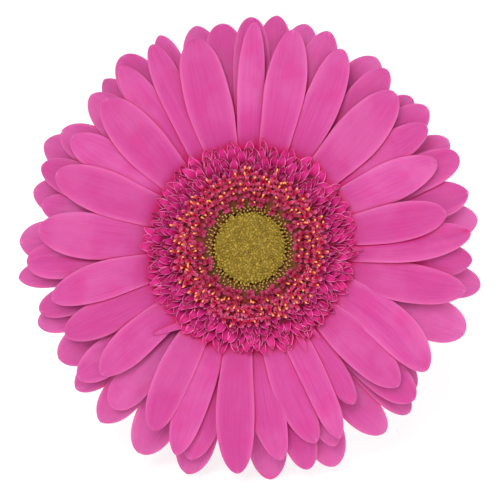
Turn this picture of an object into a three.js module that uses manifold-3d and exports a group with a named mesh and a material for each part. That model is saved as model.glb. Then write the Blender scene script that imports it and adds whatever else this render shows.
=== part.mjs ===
// A cut gerbera: one pink bloom on a bare green stem, lying on a flat surface.
//
// It rests the way a cut gerbera comes to rest on a table: on the tips of its lowest petals and
// on the cut end of its stem, so the bloom faces forwards and a little up.
//
// Units are millimetres and +Z is up. The bloom faces -Y and the stem runs back along +Y. The
// origin is the bottom centre of the bounding box. Inside the bloom's own group, +Z is the way
// the bloom faces, +Y is its upper side, and z = 0 is the rim where the petals are attached.
import * as THREE from 'three';
import { mergeVertices } from 'three/addons/utils/BufferGeometryUtils.js';
import Module from 'manifold-3d';

// ---- Driving dimensions ----
const FACE_TILT = THREE.MathUtils.degToRad(15); // how far the bloom looks up from level
const CLAW_RADIUS = 11.4; // where a petal's narrow claw leaves the receptacle
const CLAW_WIDTH = 1.5;
const PETAL_THICKNESS = 0.36;
const PETAL_CROWN = 0.4; // how much lower a petal's edges lie than its middle
const CREST_RADIUS = 38; // where a petal's arch is highest above its claw
const CREST_HEIGHT = 5;
const TIER_STEP = 0.85; // height between petals that lie one over another
const CLAW_STACK = 0.36; // share of that height which is left at the claws
const STACK_SPREAD = 14; // distance over which the rows fan out to their full spacing
const STEM_RADIUS = 3.3;
const STEM_TOP = -9.4; // where the stem meets the receptacle, in the bloom's own frame

// ---- Ray florets ----
// Each row lists its petals clockwise from the top, as the bloom is seen from the front:
// [azimuth in degrees, lean of the tip in degrees, reach from the axis, width, tier].
const FRONT_ROW = {
  name: 'ray_floret_front',
  depth: 0,
  droop: 0,
  shoulder: 0.66,
  bluntness: 2.3,
  petals: [
    [0.2, 1, 53.6, 6.4, 1],
    [13.5, -2.2, 52.9, 9.7, 0],
    [28.2, -3.4, 52.2, 8.6, 1],
    [43.6, -0.7, 50.5, 11.1, 0],
    [54.5, 1.1, 51.2, 8.8, 2],
    [64.7, 0.5, 49, 9.6, 1],
    [80.2, -0.4, 47.3, 9.2, 0],
    [90.6, -4.8, 52.6, 9.1, 1],
    [103, -1.8, 52.3, 9.5, 2],
    [114.7, 10.2, 51.3, 10.1, 1],
    [131.7, 1.3, 48.2, 9.7, 0],
    [145.5, 0.8, 44.5, 6.3, 1],
    [154, 0.8, 50, 6.3, 0],
    [165.7, -4.5, 48.8, 8.1, 1],
    [176.5, -5.1, 51, 8.6, 2],
    [187.3, -4.3, 53.7, 9, 0],
    [200.5, -0.8, 52.3, 8, 1],
    [213.3, -5.6, 49, 8.5, 0],
    [231.3, -1.8, 46.4, 8.8, 0],
    [243.7, 1.2, 48.6, 8.7, 1],
    [258.6, -3.3, 48.7, 9, 0],
    [273.8, 1.3, 50.5, 11.1, 1],
    [291.2, -0.3, 49.3, 10.5, 0],
    [302.5, -0.8, 50, 9.4, 1],
    [312.6, 3.2, 49.4, 10.7, 0],
    [325.3, -0.8, 53.2, 8.2, 2],
    [333.5, 0.7, 53.8, 7.1, 1],
    [343.7, 1.3, 51.8, 11, 0],
  ],
};
const MIDDLE_ROW = {
  name: 'ray_floret_middle',
  depth: 3.2,
  droop: 0.6,
  shoulder: 0.75,
  bluntness: 2.6,
  petals: [
    [0.3, 0, 55.3, 8.7, 0],
    [6.6, 0, 56, 8.4, 1],
    [20, 0, 55.1, 8.9, 0],
    [37.4, 0, 53.8, 8.7, 0],
    [51.8, 0, 54.1, 9.4, 1],
    [66.3, 0, 54.7, 8.9, 0],
    [75.6, 0, 53.9, 9.5, 1],
    [93.2, 0, 53.2, 8.6, 0],
    [134.9, -2.2, 53.5, 9.2, 0],
    [156.8, 0, 51.5, 7, 0],
    [165.2, 0, 54.8, 7.8, 1],
    [194.5, 1.5, 52.5, 8, 0],
    [221, 0, 50.5, 9, 1],
    [232.8, 0, 51.5, 8.6, 0],
    [254.3, -1, 52.6, 7.6, 1],
    [267.2, -0.7, 53.5, 9.1, 0],
    [282.4, -0.6, 50.9, 8.1, 1],
    [291.6, 0, 53.5, 8.7, 0],
    [304.4, -2.9, 53, 10.3, 1],
    [313.4, 0.5, 52.7, 9.6, 0],
    [326.4, 0, 55.3, 10.9, 1],
    [336.4, 0.5, 55.2, 6.9, 0],
    [352.5, 0, 54.2, 9.4, 1],
  ],
};
const OUTER_ROW = {
  name: 'ray_florets_outer_row',
  depth: 5.5,
  droop: 1.6,
  shoulder: 0.75,
  bluntness: 2.6,
  petals: [
    [14.6, -0.7, 55.7, 9.1, 0],
    [32.4, 1.3, 55.1, 10.2, 1],
    [46.9, 0.3, 53.3, 8.5, 0],
    [61.1, 0.9, 54.5, 8.7, 1],
    [82.9, 0, 55.3, 10, 0],
    [99.5, 0, 56.4, 8.7, 1],
    [111.3, 0.1, 55.8, 11, 0],
    [130.2, 0.1, 52.2, 8.8, 1],
    [135.8, 0.3, 55.3, 8.1, 0],
    [144.5, -0.8, 55.3, 8.8, 1],
    [158, 0.8, 56.5, 9.6, 0],
    [175.1, -0.2, 55.9, 9.5, 1],
    [195.1, 0.5, 56.7, 9.5, 0],
    [208.6, -0.6, 56.3, 11, 1],
    [220.6, 0.1, 55.2, 9.9, 0],
    [230.8, 0, 54.1, 8.5, 1],
    [240.3, -0.5, 53.3, 10.2, 0],
    [250.1, 0, 54.4, 8.4, 1],
    [262.6, 0, 56.2, 7.3, 0],
    [272.2, -0.5, 55.6, 11.2, 1],
    [284.8, -0.1, 53.8, 9.9, 0],
    [297.1, 0, 55.7, 10.9, 1],
    [319.1, 0, 53.6, 8.2, 0],
    [345.7, 0.5, 55.2, 9.5, 1],
  ],
};

// ---- Colours ----
const petalPink = material(0xdc5aa4, 0.55);
const floretPink = material(0xc41f7c, 0.5);
const openFloretPink = material(0xb8356f, 0.5);
const budGreen = material(0xa39a3a, 0.65);
const receptacleGreen = material(0xc3cf9a, 0.6);
const bractGreen = material(0x6f8f45, 0.6);
const stemGreen = material(0x7fa04d, 0.55);

function material(color, roughness) {
  return new THREE.MeshStandardMaterial({ color, roughness, metalness: 0 });
}

function mesh(name, geometry, surface) {
  const made = new THREE.Mesh(geometry, surface);
  made.name = name;
  return made;
}

// ---- Petal shape ----
const { clamp, degToRad, lerp, smoothstep } = THREE.MathUtils;

// Half the width of a petal, as a share of its greatest half width, at a share s of its length:
// a narrow claw, widest near the row's shoulder, and a tip that is rounder in the lower rows.
function outline(s, { shoulder, bluntness }) {
  const widening = lerp(0.18, 1, smoothstep(s, -0.04, 0.64));
  const tip = clamp((s - shoulder) / (1 - shoulder), 0, 0.96);
  return widening * Math.sqrt(1 - tip ** bluntness);
}

// Height of a petal's middle line at radius r: every row follows one arch, and lower tiers
// fan out below it.
function archHeight(r, tier, droop) {
  const arch = CREST_HEIGHT * (1 - ((r - CREST_RADIUS) / (CREST_RADIUS - CLAW_RADIUS)) ** 2);
  const fan = lerp(CLAW_STACK, 1, smoothstep(r, CLAW_RADIUS, CLAW_RADIUS + STACK_SPREAD));
  const sag = droop * ((r - CLAW_RADIUS) / (CREST_RADIUS - CLAW_RADIUS)) ** 2;
  return arch - tier * TIER_STEP * fan - sag;
}

// A petal is a thin box whose length runs out along the bloom's radius. Its claw sits at an
// even place round the receptacle, and its blade swings to its own azimuth.
function petalGeometry(row, [azimuth, lean, reach, width, tier], clawAzimuth) {
  const geometry = new THREE.BoxGeometry(2, 1, 1, 2, 7, 1).translate(0, 0.5, 0);
  const position = geometry.getAttribute('position');
  for (let i = 0; i < position.count; i++) {
    const across = position.getX(i);
    const s = 1 - (1 - position.getY(i)) ** 1.4;
    const r = lerp(CLAW_RADIUS, reach, s);
    const swing = (clawAzimuth - azimuth) * (1 - smoothstep(s, 0, 0.3));
    const angle = degToRad(azimuth + lean * s * s + swing);
    const side = (across / 2) * Math.max(CLAW_WIDTH, width * outline(s, row));
    const crown = PETAL_CROWN * across * across * smoothstep(s, 0, 0.4);
    const middle = archHeight(r, row.depth + tier, row.droop) - crown;
    position.setXYZ(
      i,
      r * Math.sin(angle) + side * Math.cos(angle),
      r * Math.cos(angle) - side * Math.sin(angle),
      middle + position.getZ(i) * PETAL_THICKNESS,
    );
  }
  geometry.computeVertexNormals();
  return geometry;
}

// The claw places of a row: even steps round the receptacle that start near the first petal.
function clawAzimuths(row) {
  const step = 360 / row.petals.length;
  const offsets = row.petals.map(([azimuth], i) => {
    const unrolled = azimuth - i * step;
    return unrolled > 180 ? unrolled - 360 : unrolled;
  });
  const start = offsets.reduce((sum, offset) => sum + offset, 0) / offsets.length;
  return row.petals.map((_, i) => {
    const even = start + i * step;
    const [azimuth] = row.petals[i];
    return even + (azimuth - even > 180 ? 360 : 0);
  });
}

function petalMeshes(row) {
  const claws = clawAzimuths(row);
  return row.petals.map((petal, i) => {
    const number = String(i + 1).padStart(2, '0');
    return mesh(`${row.name}_${number}`, petalGeometry(row, petal, claws[i]), petalPink);
  });
}

// ---- Joining ----
const wasm = await Module();
wasm.setup();

function solidOf(geometry) {
  const bare = geometry.clone();
  bare.deleteAttribute('normal');
  bare.deleteAttribute('uv');
  const merged = mergeVertices(bare, 1e-3);
  return new wasm.Manifold(new wasm.Mesh({
    numProp: 3,
    vertProperties: new Float32Array(merged.getAttribute('position').array),
    triVerts: new Uint32Array(merged.index.array),
  }));
}

function geometryOf(solid) {
  const { vertProperties, triVerts } = solid.getMesh();
  const geometry = new THREE.BufferGeometry();
  geometry.setAttribute('position', new THREE.BufferAttribute(vertProperties, 3));
  geometry.setIndex(new THREE.BufferAttribute(triVerts, 1));
  geometry.computeVertexNormals();
  return geometry;
}

// ---- Round shapes ----
// Turns a profile of [radius, height] points round the bloom's axis.
function turned(profile, segments) {
  const points = profile.map(([r, z]) => new THREE.Vector2(r, z));
  return new THREE.LatheGeometry(points, segments).rotateX(Math.PI / 2);
}

// A closed band of even thickness along a path of [radius, height] points.
function bandProfile(path, thickness) {
  const sides = path.map((point, i) => {
    const before = path[Math.max(i - 1, 0)];
    const after = path[Math.min(i + 1, path.length - 1)];
    const along = new THREE.Vector2(after[0] - before[0], after[1] - before[1]).normalize();
    const out = new THREE.Vector2(along.y, -along.x).multiplyScalar(thickness / 2);
    return { outer: [point[0] + out.x, point[1] + out.y], inner: [point[0] - out.x, point[1] - out.y] };
  });
  const outer = sides.map((side) => side.outer);
  const inner = sides.map((side) => side.inner).reverse();
  return [...outer, ...inner, outer[0]];
}

// A turned band whose upper edge is cut into pointed tips: between two tips the wall ends early,
// at the share `notch` of the way from `from` to the band's widest radius.
function toothedBand(path, thickness, tips, notch) {
  const geometry = turned(bandProfile(path, thickness), tips * 2);
  const [from] = path[path.length - 2];
  const [edge] = path[path.length - 1];
  const position = geometry.getAttribute('position');
  for (let i = 0; i < position.count; i++) {
    const x = position.getX(i);
    const y = position.getY(i);
    const radius = Math.hypot(x, y);
    const place = Math.round((Math.atan2(y, x) / Math.PI) * tips);
    if (place % 2 === 0 || radius <= from + thickness) continue;
    const shorter = lerp(radius, from + thickness, notch * clamp((radius - from) / (edge - from), 0, 1));
    position.setXY(i, (x * shorter) / radius, (y * shorter) / radius);
  }
  return geometry;
}

// ---- Pieces of the bloom ----
function outerRow() {
  const rootRing = turned([[11.2, -2.8], [12.6, -2.8], [12.6, -1.72], [11.2, -1.72], [11.2, -2.8]], 48);
  const claws = clawAzimuths(OUTER_ROW);
  const joined = OUTER_ROW.petals.reduce(
    (solid, petal, i) => solid.add(solidOf(petalGeometry(OUTER_ROW, petal, claws[i]))),
    solidOf(rootRing),
  );
  return mesh(OUTER_ROW.name, geometryOf(joined), petalPink);
}

function receptacle() {
  const profile = [[0, -9], [3.4, -9], [6, -6.8], [9.4, -3.6], [10.6, -1.4], [9.9, 0.2], [6, 0.8], [0, 1]];
  return mesh('receptacle', turned(profile, 32), receptacleGreen);
}

function budCushion() {
  const profile = [[0, 1.4], [5, 1.3], [8.3, 7.6], [7.4, 8.7], [4, 9.2], [0, 9]];
  return mesh('disc_buds', turned(profile, 32), budGreen);
}

function openFlorets() {
  const profile = [[5.4, 1.3], [7, 1.2], [14, 8.4], [13.8, 10.4], [11.4, 11], [9.2, 9.8], [8.7, 7.7], [5.4, 1.3]];
  return mesh('open_disc_florets', turned(profile, 36), openFloretPink);
}

function transFlorets() {
  const innerPath = [[8.1, 1.6], [14.9, 8.4], [16.6, 10], [20, 9.4]];
  const outerPath = [[9.6, 1.2], [14.2, 5.4], [18.4, 7.6], [24.3, 6]];
  return [
    mesh('trans_florets_inner', toothedBand(innerPath, 0.9, 30, 0.8), floretPink),
    mesh('trans_florets_outer', toothedBand(outerPath, 0.9, 30, 0.8), floretPink),
  ];
}

function bracts() {
  const innerPath = [[4.6, -8.9], [8, -6.3], [11.2, -4.6], [16.8, -4.2]];
  const outerPath = [[4.3, -12.2], [6, -9.6], [10.4, -6.9], [15.2, -6.3]];
  return [
    mesh('involucre_inner_bracts', toothedBand(innerPath, 0.8, 18, 0.9), bractGreen),
    mesh('involucre_outer_bracts', toothedBand(outerPath, 0.9, 16, 0.9), bractGreen),
  ];
}

const bloom = new THREE.Group();
bloom.add(...petalMeshes(FRONT_ROW), ...petalMeshes(MIDDLE_ROW), outerRow());
bloom.add(receptacle(), budCushion(), openFlorets(), ...transFlorets(), ...bracts());
bloom.rotation.x = Math.PI / 2 - FACE_TILT;

// The bloom stands on its lowest petal tips.
bloom.position.z = -new THREE.Box3().setFromObject(bloom).min.z;
bloom.updateMatrixWorld(true);

// ---- Stem ----
// The stem leaves the bloom along its axis, sinks to the surface and lies along it. The points
// after the first two are [x, y, height above resting on the surface].
function stem() {
  const neck = [STEM_TOP, STEM_TOP - 14].map((z) => bloom.localToWorld(new THREE.Vector3(0, 0, z)));
  const run = [[0.4, 62, 30.5], [1.4, 100, 17.5], [3, 138, 7], [5, 172, 1.3], [7.4, 202, 0], [10, 230, 0]]
    .map(([x, y, height]) => new THREE.Vector3(x, y, height + STEM_RADIUS));
  const route = new THREE.CatmullRomCurve3([...neck, ...run], false, 'centripetal');
  const section = new THREE.Shape().absarc(0, 0, STEM_RADIUS, 0, Math.PI * 2);
  const geometry = new THREE.ExtrudeGeometry(section, {
    extrudePath: route,
    steps: 26,
    curveSegments: 7,
  });
  return mesh('stem', geometry, stemGreen);
}

// ---- The whole flower ----
const gerbera = new THREE.Group();
gerbera.add(bloom, stem());
const bounds = new THREE.Box3().setFromObject(gerbera);
const middle = bounds.getCenter(new THREE.Vector3());
gerbera.position.set(-middle.x, -middle.y, -bounds.min.z);

export default gerbera;
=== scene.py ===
import math
import random

import bpy
import numpy as np
from mathutils import Matrix, Vector


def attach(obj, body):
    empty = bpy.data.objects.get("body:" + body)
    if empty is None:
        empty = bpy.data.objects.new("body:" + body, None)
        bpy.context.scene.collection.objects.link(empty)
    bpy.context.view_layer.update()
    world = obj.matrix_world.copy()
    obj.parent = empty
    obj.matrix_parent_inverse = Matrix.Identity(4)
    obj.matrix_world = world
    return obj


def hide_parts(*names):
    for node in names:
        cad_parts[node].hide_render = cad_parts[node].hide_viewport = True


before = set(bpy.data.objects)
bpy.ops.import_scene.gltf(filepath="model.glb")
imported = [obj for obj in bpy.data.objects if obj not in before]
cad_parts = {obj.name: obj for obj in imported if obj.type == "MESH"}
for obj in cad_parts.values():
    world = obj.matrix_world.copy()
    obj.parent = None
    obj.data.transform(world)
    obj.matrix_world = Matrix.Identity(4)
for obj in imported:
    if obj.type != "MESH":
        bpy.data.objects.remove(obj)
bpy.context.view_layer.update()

# ---- How the bloom sits ----
# A cut gerbera laid on a table leans on its lowest petals, so the bloom faces forwards and a
# little up. Its pieces are laid out in millimetres round the bloom's own axis: z is the way it
# faces, azimuth runs clockwise from the top, and z = 0 is the rim the petals grow from.
MM = 0.001
FACE_TILT = math.radians(15)
FACING = np.array([0, -math.cos(FACE_TILT), math.sin(FACE_TILT)])
UPWARD = np.array([0, math.sin(FACE_TILT), math.cos(FACE_TILT)])
RIGHT = np.array([1.0, 0, 0])
BLOOM_AXES = np.array([RIGHT, UPWARD, FACING])
RECEPTACLE_CROWN = 1


def cad_points(node):
    """The different corners of a CAD piece, in metres."""
    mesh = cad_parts[node].data
    points = np.empty(len(mesh.vertices) * 3, np.float32)
    mesh.vertices.foreach_get("co", points)
    return np.unique(points.reshape(-1, 3).round(6), axis=0).astype(float)


def bloom_heart():
    """The point on the bloom's axis at z = 0, found from the receptacle, which is round."""
    inside = cad_points("receptacle") @ BLOOM_AXES.T
    middle = (inside.min(0) + inside.max(0)) / 2
    middle[2] = inside[:, 2].max() - RECEPTACLE_CROWN * MM
    return middle @ BLOOM_AXES


HEART = bloom_heart()


def in_bloom(points):
    """Points of the part, in metres, as millimetres in the bloom's own axes."""
    return (points - HEART) @ BLOOM_AXES.T / MM


def on_part(points):
    """Points in the bloom's own axes, in millimetres, as metres on the part."""
    return np.asarray(points) * MM @ BLOOM_AXES + HEART


# ---- Stem ----
# The flower stalk of a gerbera is a single leafless scape, round and fleshy, with eleven shallow
# ribs and a coat of short soft hairs. It was cut square across, which shows its pale pith and
# the small hollow down its middle.
STEM_RIBS = 11
STEM_RIB_DEPTH = 0.12
STEM_SIDES = STEM_RIBS * 6
STEM_RINGS = 150
STEM_FLARE = 0.35
STEM_HAIRS = 2600
STEM_RING_GAP = 0.002
HAIR_GIRTH = 0.035
# The cut end, from the skin inwards: share of the stem's radius, millimetres past the last ring,
# and 1 where the pith shows.
CUT_END = [(0.985, 0.12, 0), (0.94, 0.2, 1), (0.6, 0.22, 1), (0.36, 0.16, 1), (0.31, -0.3, 1),
           (0.29, -5, 1)]


def smooth(x, low, high):
    """0 below low, 1 above high, and an even S between them."""
    t = np.clip((np.asarray(x, float) - low) / (high - low), 0, 1)
    return t * t * (3 - 2 * t)


def unit(vectors):
    return vectors / np.linalg.norm(vectors, axis=-1, keepdims=True)


class Bunch:
    """Pieces of one mesh, gathered with what their finish needs to know at each point: along,
    from base 0 to tip 1; across, from edge -1 to edge 1; rim, 1 at the very edge; tone, which
    differs from one floret to the next; and under, 1 on the side that faces the stem."""

    MARKS = ("along", "across", "rim", "tone", "under")

    def __init__(self):
        self.points, self.faces, self.marks, self.size = [], [], [], 0

    def add(self, points, faces, along=0, across=0, rim=0, tone=0.5, under=0):
        points = np.asarray(points)
        self.points.append(points)
        self.faces += [[corner + self.size for corner in face] for face in faces]
        columns = [np.broadcast_to(m, len(points)) for m in (along, across, rim, tone, under)]
        self.marks.append(np.stack(columns, 1))
        self.size += len(points)

    def piece(self, name, finish, slot, *nodes):
        """Makes the bunch a finished object that stands for those CAD nodes."""
        mesh = bpy.data.meshes.new(name)
        mesh.from_pydata(np.concatenate(self.points).tolist(), [], self.faces)
        marks = np.concatenate(self.marks).astype(np.float32)
        for column, mark in enumerate(self.MARKS):
            values = np.ascontiguousarray(marks[:, column])
            mesh.attributes.new(mark, "FLOAT", "POINT").data.foreach_set("value", values)
        mesh.shade_smooth()
        mesh.materials.append(finish.material)
        made = bpy.data.objects.new(name, mesh)
        bpy.context.scene.collection.objects.link(made)
        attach(made, "root")
        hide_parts(*nodes)


def line_through(corners, places):
    """Points on a smooth line through the corners, at places counted in corners from its start."""
    padded = np.vstack([2 * corners[0] - corners[1], corners, 2 * corners[-1] - corners[-2]])
    span = np.minimum(places.astype(int), len(corners) - 2)
    t = (places - span)[:, None]
    a, b, c, d = (padded[span + k] for k in range(4))
    return 0.5 * (2 * b + (c - a) * t + (2 * a - 5 * b + 4 * c - d) * t ** 2
                  + (3 * b - a - 3 * c + d) * t ** 3)


def ring_faces(rings, sides, base_cap=True, tip_cap=True):
    """Faces of a closed skin over rings of points, each ring running round the same way."""
    faces = [
        (a * sides + b, a * sides + (b + 1) % sides,
         (a + 1) * sides + (b + 1) % sides, (a + 1) * sides + b)
        for a in range(rings - 1) for b in range(sides)
    ]
    if base_cap:
        faces.append(tuple(range(sides))[::-1])
    if tip_cap:
        faces.append(tuple((rings - 1) * sides + b for b in range(sides)))
    return faces


def colour(red, green, blue):
    """A colour given as 0 to 255 per channel, as light."""
    light = [c / 12.92 if c <= 0.04045 else ((c + 0.055) / 1.055) ** 2.4
             for c in (red / 255, green / 255, blue / 255)]
    return (*light, 1.0)


class Amount:
    """A number in a finish's nodes that Python's arithmetic works on."""

    def __init__(self, finish, socket):
        self.finish, self.socket = finish, socket

    def maths(self, operation, *others):
        inputs = dict(enumerate((self, *others)))
        return self.finish.node("ShaderNodeMath", {"operation": operation}, inputs)

    def __add__(self, other):
        return self.maths("ADD", other)

    def __mul__(self, other):
        return self.maths("MULTIPLY", other)

    def __abs__(self):
        return self.maths("ABSOLUTE")

    __radd__, __rmul__ = __add__, __mul__


class Finish:
    """A surface finish: one shader, and the nodes that vary it over the surface."""

    # The colour sockets of a Mix node: its share, its two colours and its result.
    MIX_SHARE, MIX_FIRST, MIX_SECOND, MIX_RESULT = 0, 6, 7, 2
    # Samples for the ambient occlusion that paints shade into crevices.
    PAINTED_SHADE_SAMPLES = 8

    def __init__(self, name, constants):
        self.material = bpy.data.materials.new(name)
        self.material.use_nodes = True
        self.tree = self.material.node_tree
        self.shader = self.tree.nodes["Principled BSDF"]
        for socket, value in constants.items():
            self.shader.inputs[socket].default_value = value

    def node(self, kind, settings, inputs, output=0):
        """A new node's output. Settings come first, and inputs are values or other outputs."""
        made = self.tree.nodes.new(kind)
        for setting, value in settings.items():
            setattr(made, setting, value)
        for socket, value in inputs.items():
            if isinstance(value, Amount):
                self.tree.links.new(value.socket, made.inputs[socket])
            else:
                made.inputs[socket].default_value = value
        return Amount(self, made.outputs[output])

    def mark(self, name):
        return self.node("ShaderNodeAttribute", {"attribute_name": name}, {}, "Fac")

    def place(self, x, y, z):
        return self.node("ShaderNodeCombineXYZ", {}, {"X": x, "Y": y, "Z": z})

    def noise(self, where, scale, detail=2.0):
        inputs = {"Vector": where, "Scale": scale, "Detail": detail}
        return self.node("ShaderNodeTexNoise", {}, inputs, "Fac")

    def spread(self, amount, low, high, least=0.0, most=1.0):
        """least where the amount is low, most where it is high, and an even S between."""
        inputs = {"Value": amount, "From Min": low, "From Max": high,
                  "To Min": least, "To Max": most}
        return self.node("ShaderNodeMapRange", {"interpolation_type": "SMOOTHSTEP"}, inputs)

    def blend(self, share, first, second):
        """The first colour, turning to the second as share goes from 0 to 1."""
        inputs = {self.MIX_SHARE: share, self.MIX_FIRST: first, self.MIX_SECOND: second}
        return self.node("ShaderNodeMix", {"data_type": "RGBA"}, inputs, self.MIX_RESULT)

    def where(self):
        """The place on the part, in metres."""
        return self.node("ShaderNodeTexCoord", {}, {}, "Object")

    def painted_crevice_shade(self, distance, deep, shallow):
        """The share of painted shade: 1 where other flesh crowds the surface within that distance, 0
        in the open.
        """
        openness = self.node("ShaderNodeAmbientOcclusion", {"samples": self.PAINTED_SHADE_SAMPLES},
                             {"Distance": distance}, "AO")
        return self.spread(openness, deep, shallow, 1, 0)

    def finish_with(self, base, rough, relief, depth):
        """Wires the colour, the roughness, and a relief so many metres deep."""
        link = self.tree.links.new
        link(base.socket, self.shader.inputs["Base Color"])
        link(rough.socket, self.shader.inputs["Roughness"])
        bump = self.node("ShaderNodeBump", {}, {"Height": relief, "Distance": depth}, "Normal")
        link(bump.socket, self.shader.inputs["Normal"])


def stem_finish():
    """Fresh green skin, paler on the ribs and towards the bloom, with fine speckles."""
    skin = Finish("stem_skin", {"Subsurface Weight": 0.12, "Subsurface Radius": (0.6, 1.0, 0.2),
                                "Subsurface Scale": 0.002, "IOR": 1.42, "Sheen Weight": 0.25})
    along = skin.mark("along")
    across = skin.mark("across")
    streaks = skin.noise(skin.place(across * 9, along * 4, 0.0), 6.0, 4.0)
    speckle = skin.noise(skin.where(), 1400.0, 3.0)
    green = skin.blend(skin.spread(streaks, 0.3, 0.7), colour(104, 142, 62), colour(150, 178, 96))
    green = skin.blend(skin.spread(along, 0.55, 1.0, 0, 0.45), green, colour(126, 118, 70))
    green = skin.blend(skin.spread(speckle, 0.45, 0.75, 0, 0.35), green, colour(178, 196, 128))
    cut = skin.spread(skin.mark("rim"), 0.4, 0.6)
    pith = skin.blend(skin.spread(skin.noise(skin.where(), 2600.0), 0.35, 0.65),
                      colour(196, 206, 150), colour(226, 228, 190))
    base = skin.blend(cut, green, pith)
    rough = skin.spread(speckle, 0.3, 0.7, 0.42, 0.6)
    skin.finish_with(base, rough, streaks * 0.6 + speckle * 0.4, 0.0002)
    return skin


def stem_course():
    """Points down the middle of the CAD stem: its corners lie in rings, well apart along it."""
    corners = cad_points("stem")
    corners = corners[np.argsort(corners[:, 1])]
    starts = np.flatnonzero(np.diff(corners[:, 1]) > STEM_RING_GAP) + 1
    rings = np.split(corners, starts)
    return np.array([(ring.min(0) + ring.max(0)) / 2 for ring in rings if len(ring) > 6])


def along_course(course, steps):
    """Evenly spread points and directions along a smooth line through the course's points."""
    line = line_through(course, np.linspace(0, len(course) - 1, steps))
    return line, unit(np.gradient(line, axis=0))


def stem_radius():
    """The CAD stem's radius, in metres: half its width where it lies flat at the cut end."""
    corners = cad_points("stem")
    end = corners[corners[:, 1] > corners[:, 1].max() - STEM_RING_GAP]
    return (end[:, 2].max() - end[:, 2].min()) / 2


def make_stem():
    chance = random.Random(11)
    line, heading = along_course(stem_course(), STEM_RINGS)
    radius = stem_radius()
    side = unit(np.cross(heading, [0, 0, 1.0]))
    over = np.cross(side, heading)
    turn = np.linspace(0, 2 * math.pi, STEM_SIDES, endpoint=False)
    share = np.linspace(0, 1, STEM_RINGS)
    ribs = 1 - STEM_RIB_DEPTH * MM / radius * (1 - np.cos(STEM_RIBS * turn)) / 2
    swell = 1 + STEM_FLARE * MM / radius * (1 - smooth(share, 0, 0.06)) * 0.5
    reach = radius * swell[:, None] * ribs[None, :]
    outward = (np.cos(turn)[None, :, None] * side[:, None]
               + np.sin(turn)[None, :, None] * over[:, None])
    round_points = line[:, None] + reach[..., None] * outward
    bunch = Bunch()
    bunch.add(round_points.reshape(-1, 3), ring_faces(STEM_RINGS, STEM_SIDES, tip_cap=False),
              along=np.repeat(share, STEM_SIDES),
              across=np.tile(np.cos(turn), STEM_RINGS))
    end_rings = np.array([line[-1] + heading[-1] * past * MM + radius * scale * outward[-1]
                          for scale, past, _ in CUT_END])
    skin_edge = round_points[-1][None]
    rims = np.repeat([0.0] + [pith for _, _, pith in CUT_END], STEM_SIDES)
    bunch.add(np.concatenate([skin_edge, end_rings]).reshape(-1, 3),
              ring_faces(len(CUT_END) + 1, STEM_SIDES, base_cap=False), along=1, rim=rims)
    for _ in range(STEM_HAIRS):
        ring = chance.randrange(STEM_RINGS)
        angle = chance.uniform(0, 2 * math.pi)
        out = math.cos(angle) * side[ring] + math.sin(angle) * over[ring]
        root = line[ring] + out * radius * 0.97 + heading[ring] * chance.uniform(-0.8, 0.8) * MM
        lean = out + heading[ring] * chance.uniform(-0.5, 0.3)
        lean = lean + np.array([chance.uniform(-0.3, 0.3) for _ in range(3)])
        if root[2] + lean[2] * MM > 0.0003:
            add_hair(bunch, root, lean, chance.uniform(0.5, 1.0) * MM, share[ring])
    bunch.piece("stem_scape", stem_finish(), "stem_green", "stem")


def add_hair(bunch, root, lean, length, along):
    """A soft hair: a fine three-sided spike."""
    lean = unit(np.asarray(lean, float))
    first = unit(np.cross(lean, [0.31, 0.87, 0.4]))
    second = np.cross(lean, first)
    foot = [root + HAIR_GIRTH * MM * (math.cos(a) * first + math.sin(a) * second)
            for a in (0, 2.09, 4.19)]
    points = foot + [root + lean * length]
    bunch.add(points, [(2, 1, 0), (0, 1, 3), (1, 2, 3), (2, 0, 3)], along=along, tone=1)


make_stem()


# ---- Green cup of bracts ----
# Behind the bloom a cup of narrow green bracts, in three overlapping rows, grows round the head
# of the stem and holds the petals up. Each bract is a thin pointed leaf with a midrib, a paler
# edge, a bronze tip and soft hairs.
BRACT_ROWS = [
    {"count": 17, "width": 4.0, "path": [(4.6, -8.9), (8, -6.4), (11.4, -4.9), (17.2, -4.3)],
     "turn": 0},
    {"count": 15, "width": 3.7, "path": [(4.3, -10.6), (6.9, -8.2), (10.8, -6.1), (15.9, -5.5)],
     "turn": 7},
    {"count": 13, "width": 3.3, "path": [(4.1, -12.2), (5.9, -9.9), (9.2, -7.6), (13.4, -6.9)],
     "turn": 3},
]
BRACT_THICKNESS = 0.34
BRACT_TWIST = 0.03
BRACT_RINGS = 22
BRACT_LINES = 9
BRACT_HAIRS = 26
# The rings and lines of a bract's back that its hairs grow from.
HAIRY_RINGS = 2, 19
HAIRY_LINES = 10, 16


def bend_through(path, steps, crowding=1.0):
    """Radii and heights along a smooth line through such pairs, crowded towards its end."""
    places = (1 - (1 - np.linspace(0, 1, steps)) ** crowding) * (len(path) - 1)
    return line_through(np.array(path, float), places).T


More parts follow.
